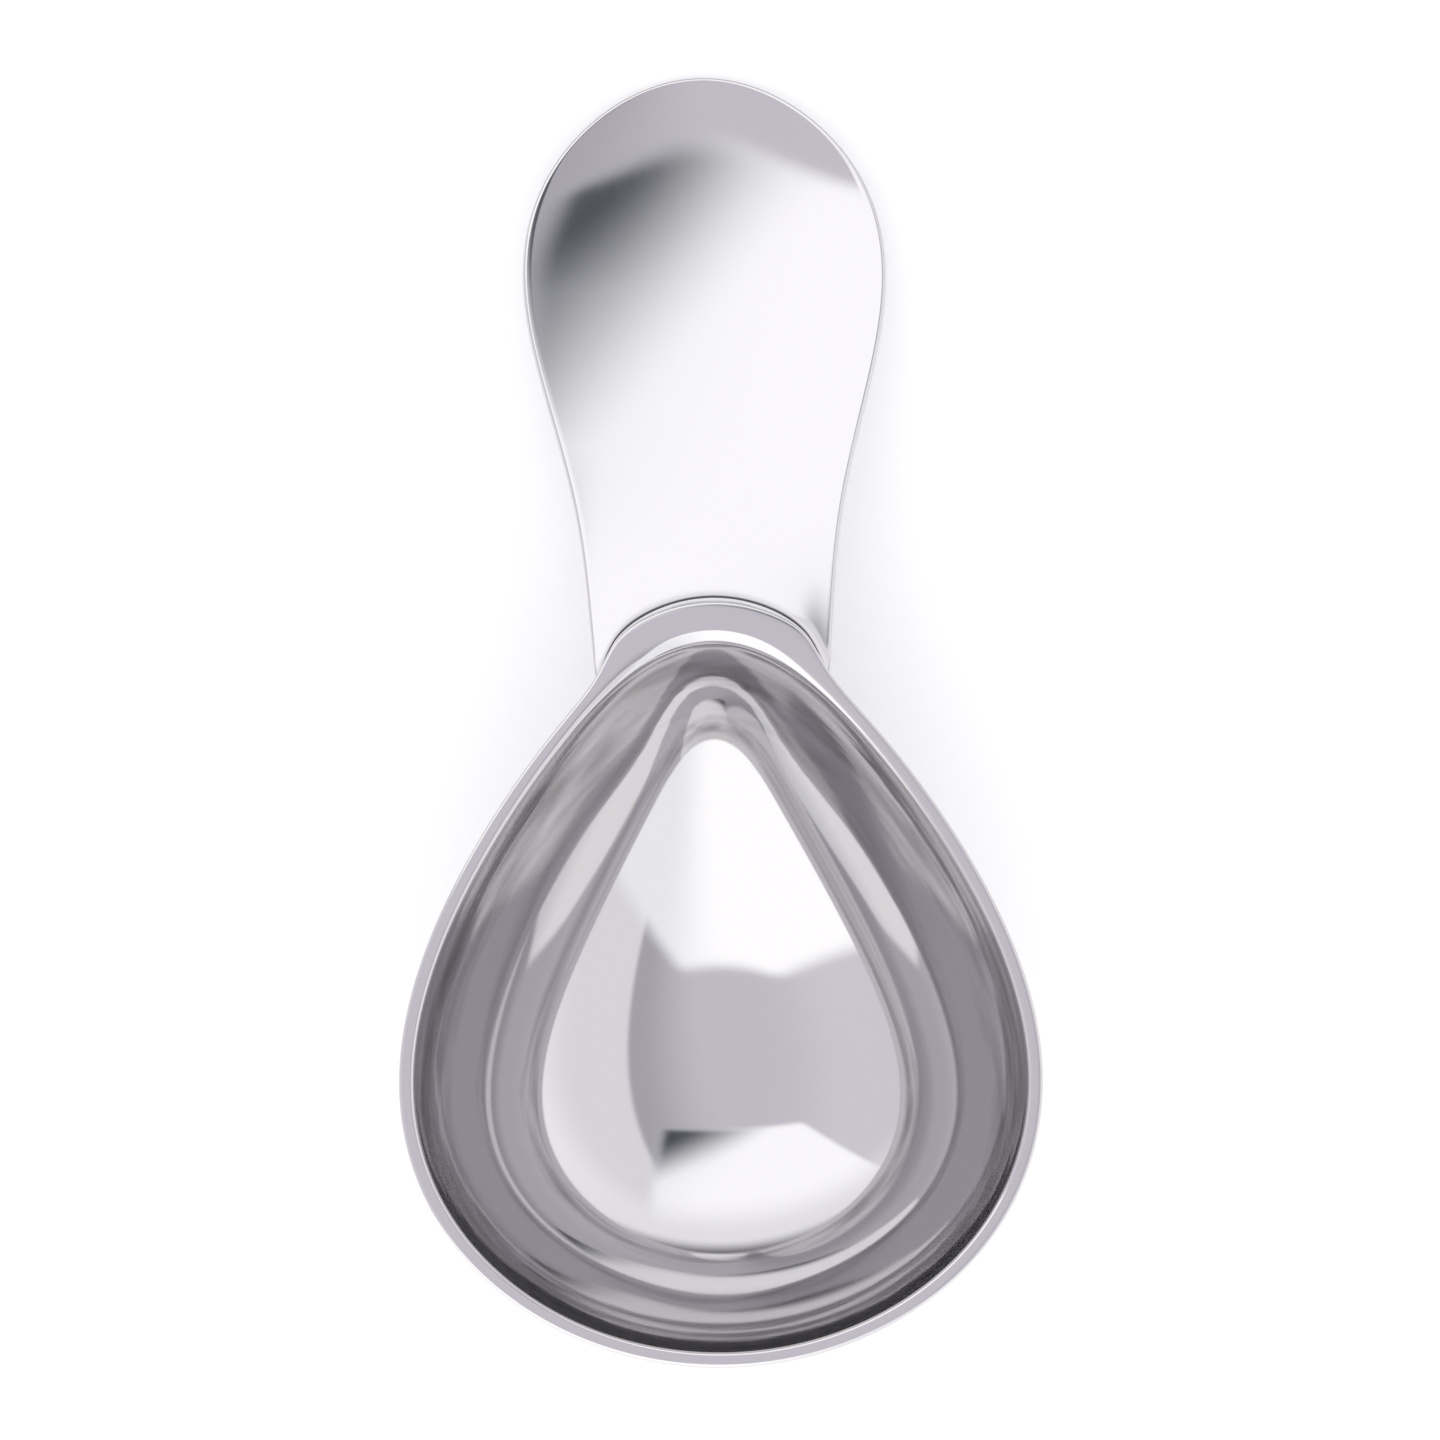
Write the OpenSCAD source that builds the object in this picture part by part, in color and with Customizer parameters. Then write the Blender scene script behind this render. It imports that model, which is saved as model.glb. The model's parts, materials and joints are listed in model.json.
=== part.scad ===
// Short-handled coffee scoop of pressed sheet steel.
// The shapes are worked out with the rim level: +Y runs from the bowl to the handle,
// +X to the right, and the bowl's deepest point lies under the frame's own middle.
// The finished scoop is then leaned back until its handle's tip meets the table.

/* [Bowl] */
// Half width of the opening, before its taper
bowl_half_w = 24.1; // [18:0.1:32]
// Half length of the opening
bowl_half_l = 28.7; // [22:0.1:38]
// How much the opening narrows towards the handle
bowl_taper = 3.6; // [1:0.1:5]
// How much the opening's front and shoulders fill out
bowl_fullness = 0.6; // [0:0.05:1.2]
// How far the opening's middle lies from the deepest point, towards the handle
bowl_shift = 4.5; // [2:0.1:8]
// Depth of the inside, from the rim's top
bowl_depth = 21.4; // [16:0.1:28]
// Thickness of the bowl's sheet
bowl_t = 1.0; // [0.8:0.05:1.3]

/* [Rim and land] */
// Width of the flat land where the handle joins
land_w = 3.55; // [2.9:0.05:5]
// How far the plain rim stands out past the bowl's wall
rim_lip = 0.25; // [0.15:0.05:0.6]
// Radius at which the land rolls into the bowl
land_roll_r = 1.6; // [1.3:0.05:1.9]
// Radius at which the plain rim rolls into the bowl
rim_roll_r = 0.35; // [0.2:0.05:0.6]
// Radius of the rim's outer top edge
rim_edge_r = 0.25; // [0.1:0.05:0.4]
// Angle at the opening's middle over which the land spreads to each side
land_spread = 25; // [20:0.5:30]

/* [Handle] */
// Length of the handle, from the land's edge to its tip
handle_l = 46.6; // [38:0.1:60]
// Half width of the handle, before its swell
handle_half_w = 15.2; // [11:0.1:18]
// How much the handle swells towards its tip
handle_swell = 0.75; // [0:0.05:2]
// How round the handle's shoulders are
handle_round = 3.0; // [1.5:0.1:4]
// How much the handle's tip is drawn out
handle_nose = 1.6; // [0.5:0.1:2.5]
// Thickness of the handle's sheet
handle_t = 1.0; // [0.8:0.05:1.3]
// How far the handle drops below the land at its step
handle_step = 1.2; // [0.6:0.05:1.6]
// How far the handle falls from its step to its lowest place
handle_fall = 4.7; // [2:0.1:8]
// How deep the handle's broad end is dished: twice the height of its edges over its middle
handle_dish = 2.6; // [1:0.1:4]

/* [Weld] */
// Width of the weld bead on the handle's tongue
weld_w = 0.9; // [0.5:0.05:1.4]
// Height of the weld bead on the bowl's wall
weld_h = 1.5; // [1:0.05:2]

/* [Hidden] */

full_turn = 360;
quarter = 90;
// Angle and share over which slopes are measured
tiny_turn = 0.05;
tiny_share = 0.0005;

function unit(v) = v / norm(v);
function mix(a, b, k) = a * (1 - k) + b * k;
function ease(k) = let (c = min(max(k, 0), 1)) c * c * (3 - 2 * c);

// Numbers of steps round the bowl, up its inside, over its roll and down its outside
round_steps = 72;
wall_steps = 18;
roll_steps = 4;
under_steps = 17;

// The wall's profile is an oval that ends at this angle, at the rim
wall_end = 77;
// How much lower than that oval the wall's foot lies: all round, more at its sides, and more at its
// neck than at its front
shoulder_share = 0.21;
side_shoulder_share = 0.48;
neck_shoulder_share = -0.06;
// How far the bowl's rounds are drawn in below the rim, and how early its taper and shift start
waist_share = 0.23;
taper_reach_share = 1.33;
shift_reach_share = 1.1;
// How sharply the land, and the roll beside it, give way to the plain rim
land_power = 8;
roll_power = 4;
roll_spread_share = 1.12;
// Hollow under the plain rim, as a share of its lip
hollow_share = 0.3;

rim_w = bowl_t + rim_lip;

// The turn a runs from 0 at the neck to half a turn at the front, to either side
function turn_off(a) = let (b = abs(a)) b > full_turn / 2 ? full_turn - b : b;
function land_share(a) = 1 / (1 + pow(turn_off(a) / land_spread, land_power));
function roll_share(a) = 1 / (1 + pow(turn_off(a) / (land_spread * roll_spread_share), roll_power));
function edge_w(a) = mix(rim_w, land_w, land_share(a));
function roll_r(a) = mix(rim_roll_r, land_roll_r, roll_share(a));
function under_r(a) = max(roll_r(a) - bowl_t, rim_lip * hollow_share);

// The opening's edge, moved outwards by w and set at height z
function opening(a) = [
    bowl_half_w * sin(a) - bowl_taper * sin(2 * a),
    bowl_shift + bowl_half_l * cos(a) + bowl_fullness * cos(3 * a)];
function opening_normal(a) =
    let (d = opening(a + tiny_turn) - opening(a - tiny_turn))
    unit([-d[1], d[0]]);
function rim_point(a, w, z) = let (p = opening(a) + opening_normal(a) * w) [p[0], p[1], z];

// How far the wall leans out from upright where it meets the roll, and the roll's lower end
function shoulder(a) =
    shoulder_share + side_shoulder_share * pow(sin(a), 2) + neck_shoulder_share * cos(a);
function draft(a) =
    let (n = opening_normal(a),
         run_x = bowl_half_w * (1 + 2 * waist_share) * sin(a)
             - bowl_taper * (4 - 2 * taper_reach_share) * sin(2 * a),
         run_y = bowl_shift * (4 - 2 * shift_reach_share) + bowl_half_l * cos(a)
             + 3 * bowl_fullness * cos(3 * a),
         rise = (bowl_depth - roll_r(a)) * (1 + shoulder(a)) * sin(wall_end) / (1 - cos(wall_end)))
    atan((run_x * n[0] + run_y * n[1]) / tan(wall_end) / rise);
function wall_top(a) = roll_r(a) * (1 - sin(draft(a)));

// Inside of the bowl at turn a, and at angle f up its wall, from the bottom (0) to the rim (90)
function waist(s) = s * (1 - waist_share * (1 - s * s));
function reach(s, early) = s * s * mix(early, 1, s * s);
function inside(f, a) =
    let (part = f * wall_end / quarter,
         s = sin(part) / sin(wall_end),
         h = pow(sin(part / 2) / sin(wall_end / 2), 2),
         rise = bowl_depth - wall_top(a) * pow(s, 4))
    [bowl_half_w * waist(s) * sin(a) - bowl_taper * reach(s, taper_reach_share) * sin(2 * a),
     bowl_shift * reach(s, shift_reach_share) + bowl_half_l * s * cos(a)
         + bowl_fullness * pow(s, 3) * cos(3 * a),
     rise * h * (1 - shoulder(a) * (1 - h)) - bowl_depth];

// The angle up the wall at which the inside is at height z
function wall_angle(a, z) =
    let (level = (bowl_depth + z) / (bowl_depth - wall_top(a)),
         low = shoulder(a),
         h = (norm([1 - low, 2 * sqrt(low * level)]) - (1 - low)) / (2 * low))
    acos(1 - h * (1 - cos(wall_end))) * quarter / wall_end;

// Outside of the bowl, one sheet's thickness away
function wall_normal(f, a) =
    let (up = inside(f + tiny_turn, a) - inside(f - tiny_turn, a),
         round = inside(f, a + tiny_turn) - inside(f, a - tiny_turn))
    unit(cross(up, round));
function outside(f, a) = inside(f, a) + wall_normal(f, a) * bowl_t;

// The bowl's rings, which run from the inside's bottom over the rim and back under
turns = [for (i = [0:round_steps - 1]) i * full_turn / round_steps];
function wall_ring(k) = [for (a = turns) inside(k * quarter, a)];
function roll_ring(k) = [for (a = turns)
    let (start = draft(a), bend = mix(start, quarter, k))
    rim_point(a, roll_r(a) * (cos(start) - cos(bend)), -roll_r(a) * (1 - sin(bend)))];
function edge_ring(k) = [for (a = turns)
    let (w = rim_edge_r * (1 - sin(k * quarter)), z = rim_edge_r * (1 - cos(k * quarter)))
    rim_point(a, edge_w(a) - w, -z)];
function lower_ring() = [for (a = turns) rim_point(a, edge_w(a), -bowl_t)];
function hollow_ring(k) = [for (a = turns)
    let (w = under_r(a) * (1 - sin(k * quarter)), z = under_r(a) * (1 - cos(k * quarter)))
    rim_point(a, bowl_t + w, -bowl_t - z)];
// The outside starts just under the hollow below the rim
function under_turn(a) = wall_angle(a, -bowl_t - under_r(a));
function under_ring(k) = [for (a = turns) outside(under_turn(a) * k, a)];

bowl_rings = concat(
    [for (j = [1:wall_steps]) wall_ring(j / wall_steps)],
    [for (j = [1:roll_steps]) roll_ring(j / roll_steps)],
    [for (k = [0:0.5:1]) edge_ring(k)],
    [lower_ring()],
    [for (k = [0:0.5:0.5]) hollow_ring(k)],
    [for (j = [0:under_steps - 1]) under_ring(1 - j / under_steps)]);

// Numbers of steps across the handle, along it, and along each half of its tongue
across_steps = 14;
along_steps = 36;
tongue_steps = 3;
// Rows are closer together near the step than at the tip, by this power
row_power = 1.5;

// The handle's edges leave the land at this turn, as a share of the land's spread
neck_share = 1.14;
neck_turn = land_spread * neck_share;
neck_y = rim_point(0, edge_w(0), 0)[1];
tip_y = neck_y + handle_l;
// The outline is a swollen round that starts at the tip and ends at this angle, at the neck
outline_angle = 114;
outline_half_l = handle_l / (1 - cos(outline_angle));
// The tip's last, straight stretch starts at this share of the outline
nose_share = 0.985;
// Shares of the handle's length over which its underside turns square to its top, its rows
// straighten, its slope levels and its dish deepens
square_share = 0.1;
straighten_share = 0.3;
slope_share = 0.82;
dish_share = 0.6;
// Dish at the neck, as a share of the dish at the broad end
neck_dish_share = 0.5;
// The dish widens where the handle narrows, the less the more of its half width is added
dish_tip_share = 1;
// Length of the step, as a share of its height
step_share = 0.64;
step_l = handle_step * step_share;
// The tongue stays clear of the bowl's wall by a share of the wall, and bends over at most a
// share of its own length
tongue_gap_share = 0.15;
tongue_bend_share = 0.75;

function outline_w(y) =
    let (t = acos(min(1, 1 - (tip_y - y) / outline_half_l)))
    handle_half_w * sin(t) + handle_swell * sin(2 * t)
        + handle_round * sin(3 * t) - handle_nose * sin(4 * t);

// Height of the handle's top above the land's underside, d past the land's edge
function fallen(d) = let (q = max(0, d / step_l + 1)) 1 - exp(-q * q / 2);
function soften(d) = (d + norm([d, step_l])) / 2;
function slope_z(d) =
    let (q = soften(max(d, -step_l)) / (handle_l * slope_share))
    handle_fall * (q * q - 2 * q);
function spine_z(d) = slope_z(d) - slope_z(-step_l) - handle_step * fallen(d);
function dish_z(x, d) =
    let (deepening = mix(neck_dish_share, 1, ease(d / (handle_l * dish_share))),
         w = norm([outline_w(neck_y + max(d, 0)), handle_half_w * dish_tip_share]))
    handle_dish * pow(x / w, 2) * deepening * fallen(d);

// The tongue lies under the land, at u from -1 to 1 across the handle and at k from -1 to 0
// along it: level in its first half, and bending down to the land's edge in its second
function tongue_w(u) = bowl_t + under_r(u * neck_turn) + bowl_t * tongue_gap_share;
function tongue_l(u) = edge_w(u * neck_turn) - tongue_w(u);
function tongue_bend(u) = min(step_l, tongue_l(u) * tongue_bend_share);
function tongue_top(u, k) =
    let (d = k < -1 / 2 ? mix(-tongue_l(u), -tongue_bend(u), 2 * k + 2) : 2 * k * tongue_bend(u),
         p = rim_point(u * neck_turn, edge_w(u * neck_turn) + d, 0))
    [p[0], p[1], -bowl_t + spine_z(d) + dish_z(p[0], d)];

// The handle proper, at k from 0 at the land's edge to 1 at the tip
function row_y(k) = tip_y - outline_half_l * (1 - cos(outline_angle * (1 - k)));
function body_top(u, k) =
    let (y = row_y(k),
         d = y - neck_y,
         straight = 1 - pow(1 - min(1, d / (handle_l * straighten_share)), 2),
         edge = rim_point(u * neck_turn, edge_w(u * neck_turn), 0),
         x = mix(edge[0], u * outline_w(y), straight))
    [x, mix(edge[1] + d, y, straight), -bowl_t + spine_z(d) + dish_z(x, d)];
function handle_top(u, k) = k < 0 ? tongue_top(u, k) : body_top(u, k);

// The underside lies straight below the tongue and the step, and square to the top beyond them
function handle_normal(u, k) =
    let (c = max(k, tiny_share),
         d = row_y(c) - neck_y,
         x = handle_top(u, c)[0],
         along = handle_top(0, c + tiny_share) - handle_top(0, c - tiny_share),
         across = dish_z(x + tiny_share, d) - dish_z(x - tiny_share, d))
    unit([-across / (2 * tiny_share), -along[2] / along[1], 1]);
function handle_under(u, k) =
    let (square = ease((row_y(max(k, 0)) - neck_y) / (handle_l * square_share)))
    handle_top(u, k) - mix([0, 0, 1], handle_normal(u, k), square) * handle_t;
function handle_ring(k) = concat(
    [for (i = [0:across_steps]) handle_top(2 * i / across_steps - 1, k)],
    [for (i = [across_steps:-1:0]) handle_under(2 * i / across_steps - 1, k)]);

handle_rings = concat(
    [for (i = [0:2 * tongue_steps - 1]) handle_ring(i / (2 * tongue_steps) - 1)],
    [for (i = [0:along_steps]) handle_ring(pow(i / along_steps, row_power) * nose_share)]);

// Weld bead: a hollow fillet between the bowl's wall and the tongue's underside
weld_steps = 16;
// How far the bead runs to each side, as a share of the neck's turn
weld_reach_share = 0.7;
// How hollow the bead is, and how clear of the wall, as shares of its height
weld_hollow_share = 0.25;
weld_gap_share = 0.014;
// How much of the tongue's level half the bead may cover
weld_room_share = 0.95;
tongue_under_z = -bowl_t - handle_t;

function wall_seat(a, z) =
    let (f = wall_angle(a, z))
    outside(f, a) + wall_normal(f, a) * weld_h * weld_gap_share;
function weld_ring(a) =
    let (start_w = tongue_w(a / neck_turn),
         level_w = (tongue_l(a / neck_turn) - tongue_bend(a / neck_turn)) * weld_room_share,
         top = wall_seat(a, tongue_under_z),
         start = rim_point(a, start_w, tongue_under_z),
         far = rim_point(a, start_w + min(weld_w, level_w), tongue_under_z),
         low = wall_seat(a, tongue_under_z - weld_h),
         outer = mix(mix(far, low, 1 / 3), start, weld_hollow_share),
         inner = mix(mix(far, low, 2 / 3), start, weld_hollow_share))
    [[top[0], top[1], min(top[2], tongue_under_z)], start, far, outer, inner, low];
weld_turn = neck_turn * weld_reach_share;
weld_rings = [for (i = [0:weld_steps]) weld_ring(weld_turn * (2 * i / weld_steps - 1))];

// Bands of triangles that join rings of n points, m rings in all, from point number first
function bands(n, m, first) = [for (j = [0:m - 2]) for (i = [0:n - 1])
    let (a = first + j * n + i, b = first + j * n + (i + 1) % n)
    each [[a, b, b + n], [a, b + n, a + n]]];

// A skin that starts and ends in a point
module skin(start, rings, end) {
    n = len(rings[0]);
    m = len(rings);
    points = concat([start], [for (r = rings) for (p = r) p], [end]);
    start_fan = [for (i = [0:n - 1]) [0, 1 + (i + 1) % n, 1 + i]];
    end_fan = [for (i = [0:n - 1]) [m * n + 1, (m - 1) * n + 1 + i, (m - 1) * n + 1 + (i + 1) % n]];
    polyhedron(points = points, faces = concat(start_fan, bands(n, m, 1), end_fan));
}

// A bar closed at its first and last ring by a strip that joins the ring's upper and lower halves
module bar(rings) {
    n = len(rings[0]);
    m = len(rings);
    strip = [for (i = [0:n / 2 - 2]) each [[i, n - 2 - i, i + 1], [i, n - 1 - i, n - 2 - i]]];
    last = (m - 1) * n;
    end_strip = [for (t = strip) [last + t[0], last + t[2], last + t[1]]];
    points = [for (r = rings) for (p = r) p];
    polyhedron(points = points, faces = concat(strip, bands(n, m, 0), end_strip));
}

// The lean at which the bowl's underside and the handle's tip stand on one plane
bowl_points = [for (r = bowl_rings) for (p = r) p];
handle_points = [for (r = handle_rings) for (p = r) p];
lean_max = 30;
lean_tries = 24;
function leaned(p, q) = [p[0], p[1] * cos(q) + p[2] * sin(q), p[2] * cos(q) - p[1] * sin(q)];
function low_z(points, q) = min([for (p = points) leaned(p, q)[2]]);
function find_lean(low, high, tries) =
    let (q = (low + high) / 2)
    tries == 0 ? q
    : low_z(handle_points, q) > low_z(bowl_points, q) ? find_lean(q, high, tries - 1)
    : find_lean(low, q, tries - 1);
lean = find_lean(0, lean_max, lean_tries);
rest_z = -low_z(bowl_points, lean);
front_y = min([for (p = bowl_points) leaned(p, lean)[1]]);
back_y = max([for (p = handle_points) leaned(p, lean)[1]]);

module at_rest() {
    translate([0, -(front_y + back_y) / 2, rest_z])
        rotate([-lean, 0, 0])
            children();
}

module bowl() {
    color([0.78, 0.77, 0.80])
        at_rest()
            skin([0, 0, -bowl_depth], bowl_rings, [0, 0, -bowl_depth - bowl_t]);
}

module handle() {
    color([0.86, 0.86, 0.88])
        at_rest()
            bar(handle_rings);
}

module weld_bead() {
    color([0.66, 0.65, 0.66])
        at_rest()
            bar(weld_rings);
}

bowl();
handle();
weld_bead();
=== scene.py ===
"""Looks of a short-handled coffee scoop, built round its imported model, and the studio it lies in.

Sizes are in millimetres and angles in degrees, in the scoop's level frame: the rim is level at
height zero, +Y runs from the bowl to the handle, and the bowl's deepest point is under the middle.
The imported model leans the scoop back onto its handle's tip, and its record says by how much.
"""

from __future__ import annotations

import json
import logging
import math
from dataclasses import dataclass, fields
from enum import Enum
from functools import partial
from typing import Any, Callable

import bmesh
import bpy
import numpy as np
from mathutils import Matrix, Vector


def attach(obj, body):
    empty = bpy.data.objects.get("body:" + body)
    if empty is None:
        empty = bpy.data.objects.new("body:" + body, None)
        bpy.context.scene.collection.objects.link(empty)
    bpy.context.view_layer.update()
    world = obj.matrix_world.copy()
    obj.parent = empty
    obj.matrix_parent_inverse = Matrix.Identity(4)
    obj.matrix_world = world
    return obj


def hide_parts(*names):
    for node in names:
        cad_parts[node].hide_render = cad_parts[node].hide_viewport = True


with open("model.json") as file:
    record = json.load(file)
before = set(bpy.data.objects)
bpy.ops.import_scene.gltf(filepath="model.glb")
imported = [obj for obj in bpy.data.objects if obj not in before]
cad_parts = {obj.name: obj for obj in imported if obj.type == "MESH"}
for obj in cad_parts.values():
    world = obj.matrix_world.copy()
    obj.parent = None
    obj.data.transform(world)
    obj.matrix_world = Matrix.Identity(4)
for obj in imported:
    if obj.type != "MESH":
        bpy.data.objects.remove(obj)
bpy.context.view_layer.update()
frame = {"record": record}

log = logging.getLogger("scoop")

MM = 0.001
BODY = "root"
LAND_MOUNT_OUT = 2.5  # How far out from the opening the record's mount on the land lies.
PICTURE_MIDDLE = (0.54, 27.32, 0.0)  # The level point that the camera looks down on.
Triple = tuple[Any, Any, Any]


class Slot(Enum):
    """The record's material slots."""

    BOWL = "bowl_steel"
    HANDLE = "handle_steel"
    WELD = "weld_steel"


def mix(a: Any, b: Any, k: Any) -> Any:
    """Blend from a to b as k goes from 0 to 1."""
    return a * (1 - k) + b * k


def ease(k: Any, ops: Any) -> Any:
    """Rise smoothly from 0 to 1 as k does, and stay level outside that."""
    c = ops.minimum(ops.maximum(k, 0.0), 1.0)
    return c * c * (3 - 2 * c)


def cross(a: Triple, b: Triple) -> Triple:
    """Cross product.

    Args:
        a: Three numbers or fields.
        b: Three more.

    Returns:
        The product's three.
    """
    return (
        a[1] * b[2] - a[2] * b[1],
        a[2] * b[0] - a[0] * b[2],
        a[0] * b[1] - a[1] * b[0],
    )


def minus(a: Triple, b: Triple) -> Triple:
    """Difference of two triples of numbers or fields."""
    return a[0] - b[0], a[1] - b[1], a[2] - b[2]


def add_node(
    tree: bpy.types.NodeTree, kind: str, inputs: dict[Any, Any] | None = None, **settings: Any
) -> bpy.types.Node:
    """Add a node to a tree.

    Args:
        tree: The tree.
        kind: The node's type.
        inputs: What goes into its named or numbered inputs, sockets or plain values.
        **settings: The node's own settings.

    Returns:
        The new node.
    """
    made = tree.nodes.new(kind)
    for key, value in settings.items():
        setattr(made, key, value)
    for key, value in (inputs or {}).items():
        if isinstance(value, bpy.types.NodeSocket):
            tree.links.new(value, made.inputs[key])
        else:
            made.inputs[key].default_value = value
    return made


def combine(tree: bpy.types.NodeTree, operation: str, a: Any, b: Any) -> bpy.types.NodeSocket:
    """One Math node's result from two sockets or plain numbers."""
    return add_node(tree, "ShaderNodeMath", {0: a, 1: b}, operation=operation).outputs[0]


def blend(tree: bpy.types.NodeTree, share: Any, a: Any, b: Any) -> bpy.types.NodeSocket:
    """Blend from colour a to colour b in a material as the share goes from 0 to 1."""
    return add_node(tree, "ShaderNodeMix", {0: share, 6: a, 7: b}, data_type="RGBA").outputs[2]


@dataclass(frozen=True)
class RestPose:
    """How the level scoop lies at rest.

    Attributes:
        lean: Angle by which it leans back, in radians.
        offset: Where the level frame's middle goes, in metres.
    """

    lean: float
    offset: Vector

    @classmethod
    def from_record(cls, record: dict[str, Any], land_y: float) -> RestPose:
        """Read the pose from the mount on the flat land.

        Args:
            record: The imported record.
            land_y: Where that mount lies along the level scoop, in millimetres.

        Returns:
            The pose at rest.
        """
        land = next(m for m in record["mounts"] if m["name"] == "levelling_land")
        lean = math.atan2(land["axis"][1], land["axis"][2])
        turned = Matrix.Rotation(-lean, 3, "X") @ Vector((0, land_y * MM, 0))
        return cls(lean, Vector(land["pos_m"]) - turned)

    def matrix(self) -> Matrix:
        """The turn, place and scale that take level millimetres to the frame's metres."""
        turn = Matrix.Rotation(-self.lean, 4, "X")
        return Matrix.Translation(self.offset) @ turn @ Matrix.Scale(MM, 4)

    def place(self, points: np.ndarray) -> np.ndarray:
        """Level points in millimetres, one to a line, as the frame's points in metres."""
        m = np.array(self.matrix())
        return points @ m[:3, :3].T + m[:3, 3]


class Field:
    """A number that varies over a surface, held by a node's output, with plain arithmetic."""

    def __init__(self, graph: Graph, socket: bpy.types.NodeSocket) -> None:
        """Wrap one output socket of a graph."""
        self.graph = graph
        self.socket = socket

    def name(self) -> str:
        """The socket's own name in its tree."""
        return self.socket.node.name + "/" + self.socket.identifier

    def __add__(self, other: Any) -> Field:
        """Sum."""
        return self.graph.math("ADD", self, other)

    def __radd__(self, other: Any) -> Field:
        """Sum with a plain number first."""
        return self.graph.math("ADD", other, self)

    def __sub__(self, other: Any) -> Field:
        """Difference."""
        return self.graph.math("SUBTRACT", self, other)

    def __rsub__(self, other: Any) -> Field:
        """Difference from a plain number."""
        return self.graph.math("SUBTRACT", other, self)

    def __mul__(self, other: Any) -> Field:
        """Product."""
        return self.graph.math("MULTIPLY", self, other)

    def __rmul__(self, other: Any) -> Field:
        """Product with a plain number first."""
        return self.graph.math("MULTIPLY", other, self)

    def __truediv__(self, other: Any) -> Field:
        """Quotient."""
        return self.graph.math("DIVIDE", self, other)

    def __rtruediv__(self, other: Any) -> Field:
        """Quotient of a plain number."""
        return self.graph.math("DIVIDE", other, self)

    def __pow__(self, other: Any) -> Field:
        """Power."""
        return self.graph.math("POWER", self, other)

    def __neg__(self) -> Field:
        """The same number with its sign turned."""
        return self.graph.math("MULTIPLY", self, -1.0)


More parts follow.
